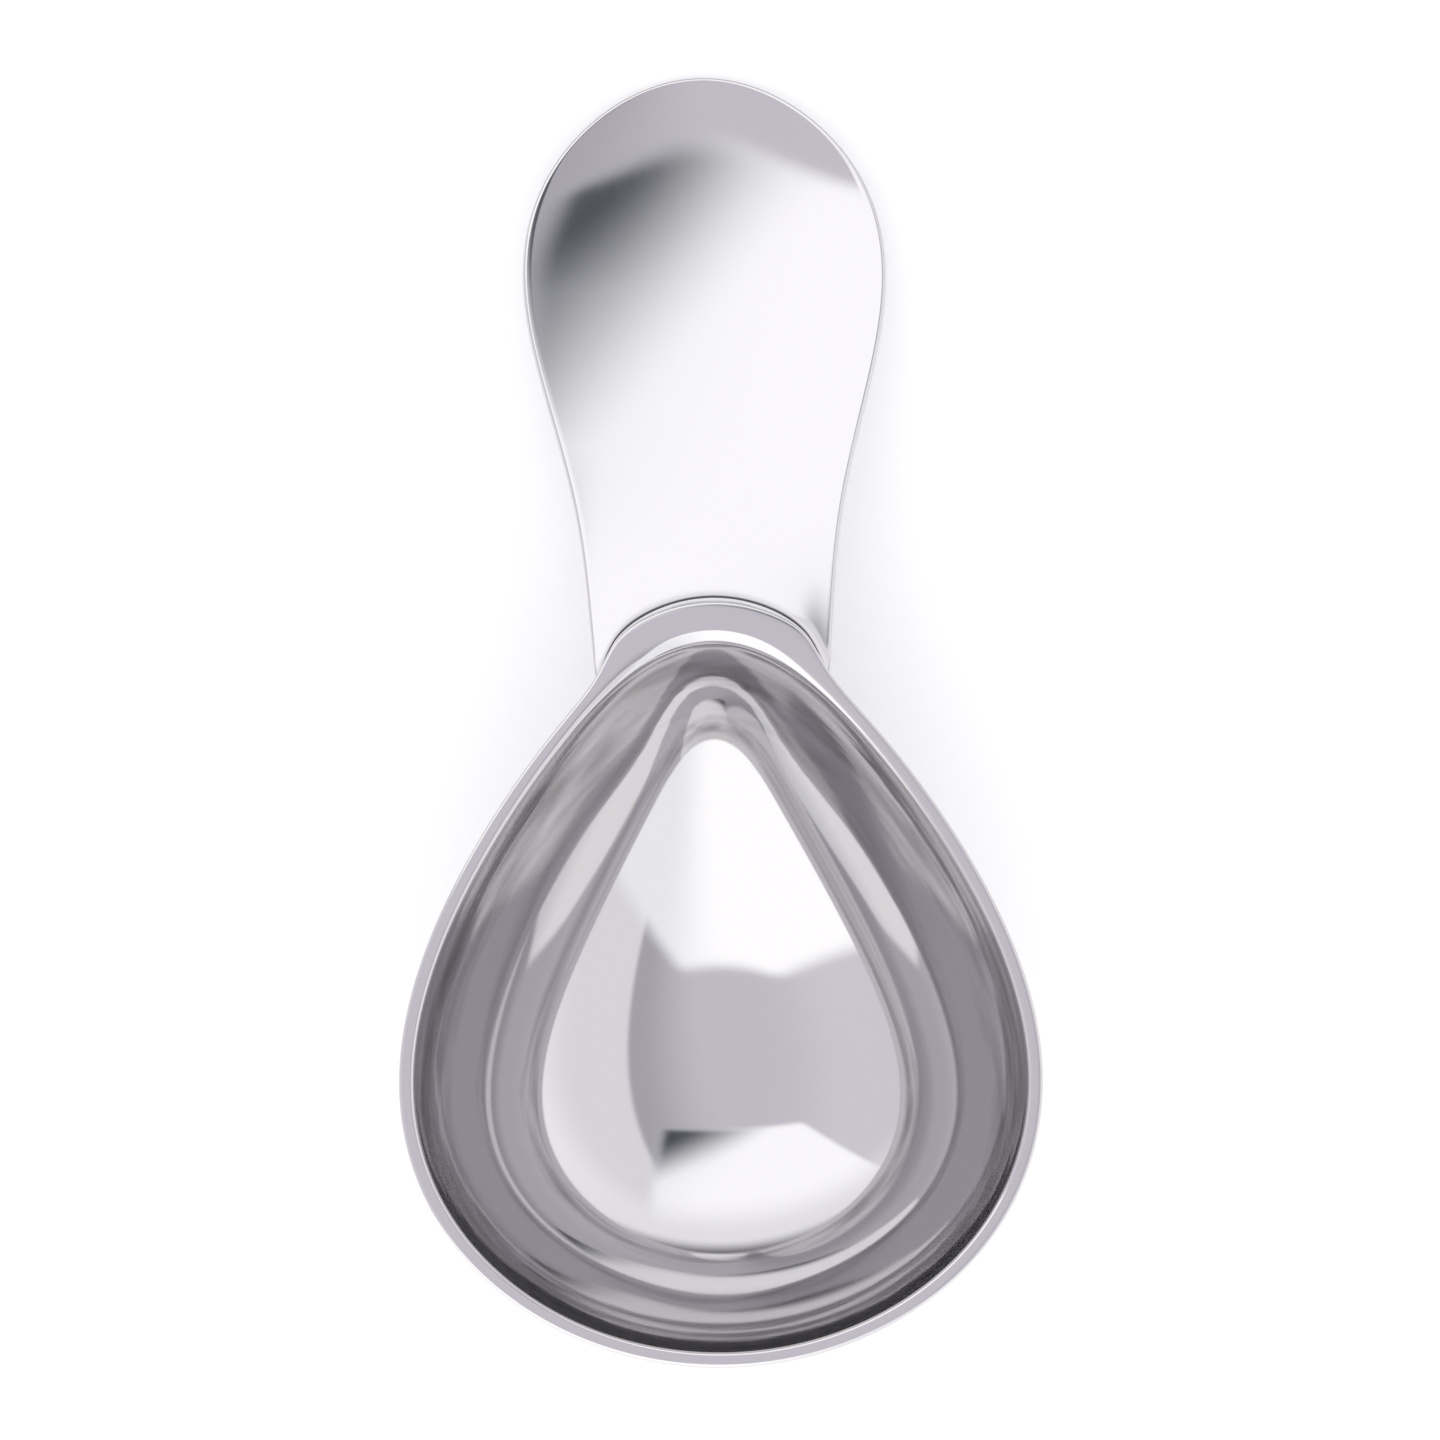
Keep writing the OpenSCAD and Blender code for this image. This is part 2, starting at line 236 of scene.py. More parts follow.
class Graph:
    """A Geometry Nodes tree that is written one formula at a time.

    It has numpy's names for the functions that the formulas use, so that one formula works out
    an array or writes the nodes that work out the same thing.
    """

    functions = {
        "sin": "SINE",
        "cos": "COSINE",
        "arccos": "ARCCOSINE",
        "arctan": "ARCTANGENT",
        "sqrt": "SQRT",
        "abs": "ABSOLUTE",
        "minimum": "MINIMUM",
        "maximum": "MAXIMUM",
    }

    def __init__(self, name: str, sizes: Any) -> None:
        """Start a tree.

        Args:
            name: The tree's name.
            sizes: A dataclass whose whole and real numbers become the tree's named inputs.
        """
        self.tree = bpy.data.node_groups.new(name, "GeometryNodeTree")
        self.sizes = sizes
        face = self.tree.interface
        face.new_socket("Geometry", in_out="OUTPUT", socket_type="NodeSocketGeometry")
        for f in fields(sizes):
            kind = "NodeSocketInt" if isinstance(getattr(sizes, f.name), int) else "NodeSocketFloat"
            face.new_socket(self.title(f.name), in_out="INPUT", socket_type=kind)
        face.new_socket("Steel", in_out="INPUT", socket_type="NodeSocketMaterial")
        self.group_in = self.tree.nodes.new("NodeGroupInput")
        self.group_out = self.tree.nodes.new("NodeGroupOutput")
        self.sums: dict[tuple[Any, ...], Field] = {}
        place = self.node("GeometryNodeInputPosition").outputs[0]
        flat = self.node("ShaderNodeSeparateXYZ", {0: place})
        self.shares = tuple(Field(self, flat.outputs[i]) + 0.5 for i in range(2))

    @staticmethod
    def title(name: str) -> str:
        """A dataclass field's name as an input's name."""
        return name.replace("_", " ").title()

    def __getattr__(self, name: str) -> Any:
        """A function by numpy's name, or a size as a field that reads the tree's input.

        Args:
            name: The function's name, or the size's name in the dataclass.

        Returns:
            The function or the field.
        """
        if name in self.functions:
            return partial(self.math, self.functions[name])
        if name.startswith("__") or name not in {f.name for f in fields(self.sizes)}:
            raise AttributeError(name)
        return Field(self, self.group_in.outputs[self.title(name)])

    def node(
        self, kind: str, inputs: dict[Any, Any] | None = None, **settings: Any
    ) -> bpy.types.Node:
        """Add a node.

        Args:
            kind: The node's type.
            inputs: What goes into its inputs: sockets, fields or plain values.
            **settings: The node's own settings.

        Returns:
            The new node.
        """
        sources = {k: v.socket if isinstance(v, Field) else v for k, v in (inputs or {}).items()}
        return add_node(self.tree, kind, sources, **settings)

    def math(self, operation: str, *values: Any) -> Field:
        """One Math node, made once for each sum.

        Args:
            operation: What it does.
            *values: Fields or plain numbers.

        Returns:
            Its result.
        """
        key = (operation, *(v.name() if isinstance(v, Field) else float(v) for v in values))
        if key not in self.sums:
            made = self.node("ShaderNodeMath", dict(enumerate(values)), operation=operation)
            self.sums[key] = Field(self, made.outputs[0])
        return self.sums[key]

    def strip(self, across: Any, rows: Any, point: Callable[[Field, Field], Triple]) -> Any:
        """A sheet of quads bent by a formula.

        Args:
            across: Number of vertices in each row.
            rows: Number of rows of vertices.
            point: Gives a place from two shares, along a row and across the rows.

        Returns:
            The sheet's geometry socket.
        """
        sheet = self.node(
            "GeometryNodeMeshGrid",
            {"Size X": 1.0, "Size Y": 1.0, "Vertices X": across, "Vertices Y": rows},
        )
        vector = self.node("ShaderNodeCombineXYZ", dict(enumerate(point(*self.shares))))
        bent = self.node(
            "GeometryNodeSetPosition",
            {"Geometry": sheet.outputs["Mesh"], "Position": vector.outputs[0]},
        )
        return bent.outputs[0]

    def finish(self, parts: list[Any], seam: float, pose: RestPose) -> None:
        """Join the parts, close their seams, lay them at rest and give them their steel.

        Args:
            parts: The geometry sockets to join.
            seam: The distance within which points on two seams are one point.
            pose: The pose at rest.
        """
        joined = self.node("GeometryNodeJoinGeometry")
        for part in parts:
            self.tree.links.new(part, joined.inputs[0])
        merged = self.node(
            "GeometryNodeMergeByDistance", {"Geometry": joined.outputs[0], "Distance": seam}
        )
        laid = self.node(
            "GeometryNodeTransform",
            {
                "Geometry": merged.outputs[0],
                "Translation": pose.offset,
                "Rotation": (-pose.lean, 0.0, 0.0),
                "Scale": (MM, MM, MM),
            },
        )
        real = self.node("GeometryNodeRealizeInstances", {"Geometry": laid.outputs[0]})
        dressed = self.node(
            "GeometryNodeSetMaterial",
            {"Geometry": real.outputs[0], "Material": self.group_in.outputs["Steel"]},
        )
        self.tree.links.new(dressed.outputs[0], self.group_out.inputs[0])

    def run(self, name: str, steel: bpy.types.Material) -> bpy.types.Object:
        """Evaluate the tree to a plain mesh.

        Args:
            name: The new piece's name.
            steel: The material that its faces get.

        Returns:
            The finished piece, at the origin, with no modifier.
        """
        carrier = bpy.data.objects.new(name + "_carrier", bpy.data.meshes.new(name + "_carrier"))
        bpy.context.scene.collection.objects.link(carrier)
        modifier = carrier.modifiers.new("Nodes", "NODES")
        modifier.node_group = self.tree
        values = {self.title(f.name): getattr(self.sizes, f.name) for f in fields(self.sizes)}
        for item in self.tree.interface.items_tree:
            if item.in_out == "INPUT":
                modifier[item.identifier] = values.get(item.name, steel)
        evaluated = carrier.evaluated_get(bpy.context.evaluated_depsgraph_get())
        mesh = bpy.data.meshes.new_from_object(evaluated)
        bpy.data.objects.remove(carrier)
        return add_piece(name, mesh)


def add_piece(name: str, mesh: bpy.types.Mesh) -> bpy.types.Object:
    """Turn a mesh's faces outwards, shade it smooth and link it as a piece.

    Args:
        name: The piece's name.
        mesh: Its mesh, already in place.

    Returns:
        The linked object.
    """
    work = bmesh.new()
    work.from_mesh(mesh)
    bmesh.ops.recalc_face_normals(work, faces=work.faces)
    work.to_mesh(mesh)
    work.free()
    mesh.name = name
    mesh.shade_smooth()
    piece = bpy.data.objects.new(name, mesh)
    bpy.context.scene.collection.objects.link(piece)
    return piece


@dataclass(frozen=True)
class BowlSizes:
    """The bowl's sizes, in millimetres, degrees, shares and counts."""

    half_width: float = 24.1
    half_length: float = 28.7
    taper: float = 3.6
    fullness: float = 0.6
    shift: float = 4.5
    depth: float = 21.4
    wall_end: float = 77.0
    shoulder: float = 0.21
    side_shoulder: float = 0.48
    neck_shoulder: float = -0.06
    shift_reach_share: float = 1.1
    sheet: float = 0.999
    land_width: float = 3.55
    rim_lip: float = 0.25
    land_roll: float = 1.6
    rim_roll: float = 0.35
    rim_edge: float = 0.28
    land_spread: float = 25.0
    waist_share: float = 0.23
    taper_reach_share: float = 1.33
    land_power: float = 8.0
    roll_power: float = 4.0
    roll_spread_share: float = 1.12
    hollow_share: float = 0.3
    round_steps: int = 320
    wall_rows: int = 110
    roll_rows: int = 9
    top_rows: int = 4
    edge_rows: int = 7
    side_rows: int = 3
    lower_rows: int = 5
    below_rows: int = 4
    hollow_rows: int = 6


class BowlShape:
    """The bowl's surfaces, as formulas over plain numbers, arrays or node fields.

    The turn runs from 0 at the neck to half a turn at the front, and the angle runs up the wall
    from 0 at the bottom to a quarter turn at the rim, both in radians.
    """

    slope_step = math.radians(0.4)
    down_bias = 1e-7

    def __init__(self, size: Any, ops: Any) -> None:
        """Take the sizes and the functions that work on them.

        Args:
            size: BowlSizes, or a graph with the same names.
            ops: numpy, or the same graph.
        """
        self.size = size
        self.ops = ops

    def off(self, turn: Any) -> Any:
        """The turn from the neck to either side, in degrees."""
        turned = self.ops.abs(turn)
        return self.ops.minimum(turned, math.tau - turned) * (180 / math.pi)

    def edge_width(self, turn: Any) -> Any:
        """Width from the opening to the rim's or land's outer edge.

        Args:
            turn: The turn from the neck.

        Returns:
            The width.
        """
        s = self.size
        land = 1 / (1 + (self.off(turn) / s.land_spread) ** s.land_power)
        return mix(s.sheet + s.rim_lip, s.land_width, land)

    def roll_radius(self, turn: Any) -> Any:
        """Radius at which the rim rolls into the bowl.

        Args:
            turn: The turn from the neck.

        Returns:
            The radius.
        """
        s = self.size
        spread = s.land_spread * s.roll_spread_share
        return mix(s.rim_roll, s.land_roll, 1 / (1 + (self.off(turn) / spread) ** s.roll_power))

    def hollow_radius(self, turn: Any) -> Any:
        """Radius of the hollow under the rim."""
        s = self.size
        return self.ops.maximum(self.roll_radius(turn) - s.sheet, s.rim_lip * s.hollow_share)

    def end(self) -> Any:
        """The angle of the wall's profile at the rim, in radians."""
        return self.size.wall_end * (math.pi / 180)

    def shoulder(self, turn: Any) -> Any:
        """Share by which the wall's foot lies lower and its top is steeper than an oval's.

        Args:
            turn: The turn from the neck.

        Returns:
            The share.
        """
        s, ops = self.size, self.ops
        across = ops.sin(turn)
        return s.shoulder + s.side_shoulder * across * across + s.neck_shoulder * ops.cos(turn)

    def draft(self, turn: Any) -> Any:
        """How far the wall leans out from upright where it meets the rim's roll.

        Args:
            turn: The turn from the neck.

        Returns:
            The lean, in radians.
        """
        s, ops = self.size, self.ops
        run_x = s.half_width * (1 + 2 * s.waist_share) * ops.sin(turn)
        run_x = run_x - s.taper * (4 - 2 * s.taper_reach_share) * ops.sin(2 * turn)
        run_y = (4 - 2 * s.shift_reach_share) * s.shift + s.half_length * ops.cos(turn)
        run_y = run_y + 3 * s.fullness * ops.cos(3 * turn)
        x0, y0, _ = self.rim(turn, 0.0, 0.0)
        x1, y1, _ = self.rim(turn, 1.0, 0.0)
        run = (run_x * (x1 - x0) + run_y * (y1 - y0)) * ops.cos(self.end()) / ops.sin(self.end())
        foot = (s.depth - self.roll_radius(turn)) * (1 + self.shoulder(turn))
        rise = foot * ops.sin(self.end()) / (1 - ops.cos(self.end()))
        return ops.arctan(run / rise)

    def wall_top(self, turn: Any) -> Any:
        """Depth below the rim at which the wall turns into the roll."""
        return self.roll_radius(turn) * (1 - self.ops.sin(self.draft(turn)))

    def inside(self, angle: Any, turn: Any) -> Triple:
        """A place on the inside of the wall.

        Args:
            angle: The angle up the wall.
            turn: The turn from the neck.

        Returns:
            The place.
        """
        s, ops = self.size, self.ops
        part = angle * s.wall_end / 90
        up = ops.sin(part) / ops.sin(self.end())
        up2 = up * up
        waist = up * (1 - s.waist_share * (1 - up2))
        reach = up2 * mix(s.taper_reach_share, 1.0, up2)
        half = ops.sin(part / 2) / ops.sin(self.end() / 2)
        rise = s.depth - self.wall_top(turn) * up2 * up2
        x = s.half_width * waist * ops.sin(turn) - s.taper * reach * ops.sin(2 * turn)
        y = s.shift * up2 * mix(s.shift_reach_share, 1.0, up2) + s.half_length * up * ops.cos(turn)
        y = y + s.fullness * up2 * up * ops.cos(3 * turn)
        z = rise * half * half * (1 - self.shoulder(turn) * (1 - half * half)) - s.depth
        return x, y, z

    def outside(self, angle: Any, turn: Any) -> Triple:
        """A place on the outside of the wall, one sheet away from the inside.

        Args:
            angle: The angle up the wall.
            turn: The turn from the neck.

        Returns:
            The place.
        """
        step = self.slope_step
        up = minus(self.inside(angle + step, turn), self.inside(angle - step, turn))
        along = minus(self.inside(angle, turn + step), self.inside(angle, turn - step))
        n = cross(up, along)
        n = (n[0], n[1], n[2] - self.down_bias)
        scale = self.size.sheet / self.ops.sqrt(n[0] * n[0] + n[1] * n[1] + n[2] * n[2])
        p = self.inside(angle, turn)
        return p[0] + n[0] * scale, p[1] + n[1] * scale, p[2] + n[2] * scale

    def rim(self, turn: Any, out: Any, height: Any) -> Triple:
        """A place beside the opening.

        Args:
            turn: The turn from the neck.
            out: How far it lies out from the opening's edge.
            height: Its height over the rim.

        Returns:
            The place.
        """
        s, ops = self.size, self.ops
        x = s.half_width * ops.sin(turn) - s.taper * ops.sin(2 * turn)
        y = s.shift + s.half_length * ops.cos(turn) + s.fullness * ops.cos(3 * turn)
        dx = s.half_width * ops.cos(turn) - 2 * s.taper * ops.cos(2 * turn)
        dy = -(s.half_length * ops.sin(turn)) - 3 * s.fullness * ops.sin(3 * turn)
        scale = out / ops.sqrt(dx * dx + dy * dy)
        return x - dy * scale, y + dx * scale, height

    def angle_at(self, depth: Any, turn: Any) -> Any:
        """The angle up the wall at which the inside lies at a depth.

        Args:
            depth: The depth below the rim.
            turn: The turn from the neck.

        Returns:
            The angle.
        """
        s, ops = self.size, self.ops
        level = (s.depth - depth) / (s.depth - self.wall_top(turn))
        full = self.shoulder(turn)
        share = (ops.sqrt((1 - full) * (1 - full) + 4 * full * level) - (1 - full)) / (2 * full)
        return ops.arccos(1 - share * (1 - ops.cos(self.end()))) * 90 / s.wall_end

    def top_angle(self, turn: Any) -> Any:
        """The angle up the wall at which the outside starts, under the rim's hollow."""
        return self.angle_at(self.size.sheet + self.hollow_radius(turn), turn)


class Bowl:
    """The bowl, with its rolled rim and the flat land at its neck."""

    node = "bowl"
    seam = 0.0004

    def __init__(self, size: BowlSizes, pose: RestPose) -> None:
        """Take the bowl's sizes and its pose at rest."""
        self.size = size
        self.pose = pose

    def build(self, steel: bpy.types.Material) -> bpy.types.Object:
        """Build the bowl as strips round its opening, from the inside's bottom to the outside's.

        Args:
            steel: The bowl's material.

        Returns:
            The finished piece.
        """
        g = Graph("Pressed bowl", self.size)
        shape = BowlShape(g, g)
        quarter = math.pi / 2

        def band(rows: Any, out: Callable[[Any, Any], tuple[Any, Any]]) -> Any:
            """A strip beside the opening.

            Args:
                rows: Number of rows of vertices.
                out: Gives its reach and height from the turn and the share across the rows.

            Returns:
                The strip's geometry socket.
            """

            def point(u: Field, k: Field) -> Triple:
                """Where two shares lie on the strip."""
                turn = u * math.tau
                return shape.rim(turn, *out(turn, k))

            return g.strip(g.round_steps + 1, rows, point)

        def roll(turn: Any, k: Any) -> tuple[Any, Any]:
            """The roll from the wall up to the flat top.

            Args:
                turn: The turn from the neck.
                k: Share of the roll, from the wall.

            Returns:
                Reach from the opening and height over the rim.
            """
            r, start = shape.roll_radius(turn), shape.draft(turn)
            bend = mix(start, quarter, k)
            return r * (g.cos(start) - g.cos(bend)), r * (g.sin(bend) - 1)

        def top(turn: Any, k: Any) -> tuple[Any, Any]:
            """The flat top, out to its edge."""
            start = shape.roll_radius(turn) * g.cos(shape.draft(turn))
            return mix(start, shape.edge_width(turn) - g.rim_edge, k), k * 0.0

        def edge(turn: Any, k: Any) -> tuple[Any, Any]:
            """The rounded upper edge."""
            reach = shape.edge_width(turn) - g.rim_edge * (1 - g.sin(k * quarter))
            return reach, g.rim_edge * (g.cos(k * quarter) - 1)

        def lower_radius(turn: Any) -> Any:
            """Radius of the lower edge, which the narrow lip limits."""
            room = shape.edge_width(turn) - g.sheet - shape.hollow_radius(turn)
            return g.minimum(g.rim_edge, room * 0.5)

        def side(turn: Any, k: Any) -> tuple[Any, Any]:
            """The upright side between both edges."""
            return shape.edge_width(turn), mix(-g.rim_edge, lower_radius(turn) - g.sheet, k)

        def lower(turn: Any, k: Any) -> tuple[Any, Any]:
            """The rounded lower edge.

            Args:
                turn: The turn from the neck.
                k: Share of the edge, from its side.

            Returns:
                Reach from the opening and height over the rim.
            """
            r = lower_radius(turn)
            reach = shape.edge_width(turn) - r * (1 - g.cos(k * quarter))
            return reach, r * (1 - g.sin(k * quarter)) - g.sheet

        def below(turn: Any, k: Any) -> tuple[Any, Any]:
            """The underside, in to the hollow."""
            start = shape.edge_width(turn) - lower_radius(turn)
            return mix(start, g.sheet + shape.hollow_radius(turn), k), k * 0.0 - g.sheet

        def hollow(u: Field, k: Field) -> Triple:
            """The hollow that turns from the underside down into the wall's outside.

            Args:
                u: Share of the whole turn.
                k: Share of the hollow, from the underside.

            Returns:
                The place.
            """
            turn = u * math.tau
            r = shape.hollow_radius(turn)
            out = g.sheet + r * (1 - g.sin(k * quarter))
            height = r * (g.cos(k * quarter) - 1) - g.sheet
            wall = shape.outside(shape.top_angle(turn), turn)
            return tuple(mix(a, w, ease(k, g)) for a, w in zip(shape.rim(turn, out, height), wall))

        def inner(u: Field, k: Field) -> Triple:
            """The inside, up from its bottom."""
            return shape.inside(k * quarter, u * math.tau)

        def outer(u: Field, k: Field) -> Triple:
            """The outside, up from its bottom to the hollow."""
            return shape.outside(shape.top_angle(u * math.tau) * k, u * math.tau)

        parts = [
            g.strip(g.round_steps + 1, g.wall_rows, inner),
            band(g.roll_rows, roll),
            band(g.top_rows, top),
            band(g.edge_rows, edge),
            band(g.side_rows, side),
            band(g.lower_rows, lower),
            band(g.below_rows, below),
            g.strip(g.round_steps + 1, g.hollow_rows, hollow),
            g.strip(g.round_steps + 1, g.wall_rows, outer),
        ]
        g.finish(parts, self.seam, self.pose)
        return g.run("bowl_shell", steel)


@dataclass(frozen=True)
class HandleSizes:
    """The handle's sizes, in millimetres, degrees, shares and counts."""

    length: float = 46.6
    half_width: float = 15.2
    swell: float = 0.75
    roundness: float = 3.0
    nose: float = 1.6
    sheet: float = 0.999
    step: float = 1.2
    fall: float = 4.7
    dish: float = 2.6
    edge_radius: float = 0.3
    neck_share: float = 1.14
    outline_angle: float = 114.0
    straighten_share: float = 0.3
    slope_share: float = 0.82
    dish_share: float = 0.6
    neck_dish_share: float = 0.5
    dish_tip_share: float = 1.0
    step_share: float = 0.64
    tongue_gap_share: float = 0.15
    tongue_bend_share: float = 0.75
    square_share: float = 0.1
    even_share: float = 0.25
    across: int = 72
    along: int = 190
    tongue_rows: int = 8
    edge_rows: int = 6


class HandleShape:
    """The handle's surfaces.

    u runs across it from -1 to 1. k runs along it, from -1 to 0 on the tongue under the land and
    from 0 to 1 on the handle proper. d is the distance past the land's edge.
    """

    tiny = 1e-4
    slope_step = 1e-3

    def __init__(self, size: HandleSizes, bowl: BowlShape) -> None:
        """Take the handle's sizes and work out where it lies.

        Args:
            size: The sizes.
            bowl: The bowl that it joins.
        """
        self.size = size
        self.bowl = bowl
        self.neck_turn = math.radians(bowl.size.land_spread * size.neck_share)
        self.neck_y = bowl.rim(0.0, bowl.edge_width(0.0), 0.0)[1]
        self.tip_y = self.neck_y + size.length
        self.outline_turn = math.radians(size.outline_angle)
        self.half_length = size.length / (1 - math.cos(self.outline_turn))
        self.step_length = size.step * size.step_share

    def half_width(self, y: Any) -> Any:
        """Half width of the outline.

        Args:
            y: The place along the handle.

        Returns:
            The half width there.
        """
        s = self.size
        t = np.arccos(np.clip(1 - (self.tip_y - y) / self.half_length, -1, 1))
        broad = s.half_width * np.sin(t) + s.swell * np.sin(2 * t)
        return broad + s.roundness * np.sin(3 * t) - s.nose * np.sin(4 * t)

    def fallen(self, d: Any) -> Any:
        """How much of the step lies behind, at distance d past the land's edge."""
        q = np.maximum(0, d / self.step_length + 1)
        return 1 - np.exp(-q * q / 2)

    def slope(self, d: Any) -> Any:
        """Height of the long slope that levels towards the tip.

        Args:
            d: Distance past the land's edge.

        Returns:
            The height.
        """
        past = np.maximum(d, -self.step_length)
        soft = (past + np.hypot(past, self.step_length)) / 2
        q = soft / (self.size.length * self.size.slope_share)
        return self.size.fall * (q * q - 2 * q)

    def height(self, x: Any, d: Any) -> Any:
        """Height of the top.

        Args:
            x: Place across the handle.
            d: Distance past the land's edge.

        Returns:
            The height.
        """
        s = self.size
        deepening = mix(s.neck_dish_share, 1, ease(d / (s.length * s.dish_share), np))
        half = self.half_width(self.neck_y + np.maximum(d, 0))
        width = np.hypot(half, s.half_width * s.dish_tip_share)
        dish = s.dish * (x / width) ** 2 * deepening * self.fallen(d)
        spine = self.slope(d) - self.slope(-self.step_length) - s.step * self.fallen(d)
        return dish + spine - self.bowl.size.sheet

    def tongue_plan(self, u: Any, k: Any) -> Triple:
        """Place of a tongue point, seen from above.

        Args:
            u: Share across.
            k: Share along.

        Returns:
            The place and its distance past the land's edge.
        """
        s, bowl = self.size, self.bowl
        turn = u * self.neck_turn
        edge = bowl.edge_width(turn)
        start = bowl.size.sheet * (1 + s.tongue_gap_share) + bowl.hollow_radius(turn)
        length = edge - start
        bend = np.minimum(self.step_length, length * s.tongue_bend_share)
        # Half of the rows cover the level part, and half the bend at its end.
        d = np.where(k < -0.5, mix(-length, -bend, 2 * k + 2), 2 * k * bend)
        x, y, _ = bowl.rim(turn, edge + d, 0.0)
        return x, y, d

    def row_y(self, k: Any) -> Any:
        """Place along the handle of the middle of row k."""
        return self.tip_y - self.half_length * (1 - np.cos(self.outline_turn * (1 - k)))

    def body_plan(self, u: Any, k: Any) -> Triple:
        """Place of a point on the handle proper, seen from above.

        Args:
            u: Share across.
            k: Share along.

        Returns:
            The place and its distance past the land's edge.
        """
        s, bowl = self.size, self.bowl
        y = self.row_y(k)
        d = y - self.neck_y
        straight = 1 - (1 - np.minimum(1, d / (s.length * s.straighten_share))) ** 2
        turn = u * self.neck_turn
        ex, ey, _ = bowl.rim(turn, bowl.edge_width(turn), 0.0)
        return mix(ex, u * self.half_width(y), straight), mix(ey + d, y, straight), d

    def edge_normal(self, k: np.ndarray) -> tuple[np.ndarray, np.ndarray]:
        """Outward direction of the right edge, seen from above.

        Args:
            k: Shares along.

        Returns:
            The direction's two parts at each of them.
        """
        c = np.clip(k, self.tiny, 1 - self.tiny)
        x1, y1, _ = self.body_plan(1.0, c + self.tiny)
        x0, y0, _ = self.body_plan(1.0, c - self.tiny)
        size = np.hypot(x1 - x0, y1 - y0)
        return (y1 - y0) / size, -(x1 - x0) / size

    def surface(self, u: np.ndarray, k: np.ndarray) -> tuple[np.ndarray, np.ndarray]:
        """The top, drawn in from the outline by the edge's radius, and its upward normals.

        Args:
            u: Shares across, as a row.
            k: Shares along, as a column.

        Returns:
            Points and normals, each with one line for each row.
        """
        s = self.size
        u, k = np.broadcast_arrays(u, k)
        body = self.body_plan(u, np.maximum(k, 0))
        tongue = self.tongue_plan(u, np.minimum(k, 0))
        x, y, d = (np.where(k < 0, t, b) for t, b in zip(tongue, body))
        nx, ny = self.edge_normal(np.maximum(k, 0))
        back = s.edge_radius * ny * np.where(k < 0, 0, 1)
        x, y, d = x - s.edge_radius * nx * u, y - back, d - back
        points = np.stack([x, y, self.height(x, d)], -1)
        step = self.slope_step
        slope_x = (self.height(x + step, d) - self.height(x - step, d)) / (2 * step)
        slope_y = (self.height(x, d + step) - self.height(x, d - step)) / (2 * step)
        square = ease(np.maximum(d, 0) / (s.length * s.square_share), np)
        normals = np.stack([-slope_x * square, -slope_y * square, np.ones_like(x)], -1)
        normals /= np.linalg.norm(normals, axis=-1, keepdims=True)
        return points, normals


def sheet_faces(rows: int, columns: int, first: int) -> list[tuple[int, int, int, int]]:
    """Quads over a grid of vertices.

    Args:
        rows: Number of rows of vertices.
        columns: Number of vertices in a row.
        first: Number of the grid's first vertex.

    Returns:
        The quads' vertex numbers.
    """
    corners = [first + r * columns + c for r in range(rows - 1) for c in range(columns - 1)]
    return [(a, a + 1, a + 1 + columns, a + columns) for a in corners]


class Handle:
    """The handle, with the tongue that lies under the bowl's land."""

    node = "handle"
    seam = 2e-7

    def __init__(self, shape: HandleShape, pose: RestPose) -> None:
        """Take the handle's shape and its pose at rest."""
        self.shape = shape
        self.pose = pose

    def rows(self) -> np.ndarray:
        """Place the rows of points along the handle, closest together at the step and the tip.

        Returns:
            Their shares.
        """
        s = self.shape.size
        tongue = np.linspace(-1, 0, s.tongue_rows, endpoint=False)
        t = np.linspace(0, 1, s.along + 1)
        return np.concatenate([tongue, t * mix(s.even_share, 1.0, t)])

    def build(self, steel: bpy.types.Material) -> bpy.types.Object:
        """Build the handle's two faces and the rounded edge between them.

        Args:
            steel: The handle's material.

        Returns:
            The finished piece.
        """
        shape, s = self.shape, self.shape.size
        k = self.rows()[:, None]
        u = np.linspace(-1, 1, s.across + 1)[None, :]
        top, normals = shape.surface(u, k)
        under = top - normals * s.sheet
        blocks = [top, under[:, ::-1]]
        nx, ny = shape.edge_normal(np.maximum(k[:, 0], 0))
        for side in (-1, 1):
            q = top[:, 0 if side < 0 else -1]
            n = normals[:, 0 if side < 0 else -1]
            out = np.stack([side * nx, ny, np.zeros_like(nx)], -1)
            out -= n * np.sum(out * n, -1, keepdims=True)
            out /= np.linalg.norm(out, axis=-1, keepdims=True)
            block = np.stack([q + out * w + n * h for w, h in self.edge_profile()], 1)
            blocks.append(block if side > 0 else block[:, ::-1])
        cap = np.stack([mix(top[0], under[0], t) for t in (0, 0.5, 1)], 0)
        blocks.append(cap)
        points, faces = [], []
        count = 0
        for block in blocks:
            points.append(block.reshape(-1, 3))
            faces += sheet_faces(block.shape[0], block.shape[1], count)
            count += block.shape[0] * block.shape[1]
        mesh = bpy.data.meshes.new("handle")
        mesh.from_pydata(self.pose.place(np.concatenate(points)).tolist(), [], faces)
        work = bmesh.new()
        work.from_mesh(mesh)
        bmesh.ops.remove_doubles(work, verts=work.verts, dist=self.seam)
        work.to_mesh(mesh)
        work.free()
        mesh.materials.append(steel)
        return add_piece("handle_blade", mesh)

    def edge_profile(self) -> list[tuple[float, float]]:
        """Profile of the rounded edge, from the top face down to the under face.

        Returns:
            Reach and height of each of its points.
        """
        s = self.shape.size
        r, t, n = s.edge_radius, s.sheet, s.edge_rows
        upper = [(r * math.sin(a), r * (math.cos(a) - 1)) for a in np.linspace(0, math.pi / 2, n)]
        return upper + [(w, -t - h) for w, h in reversed(upper)]


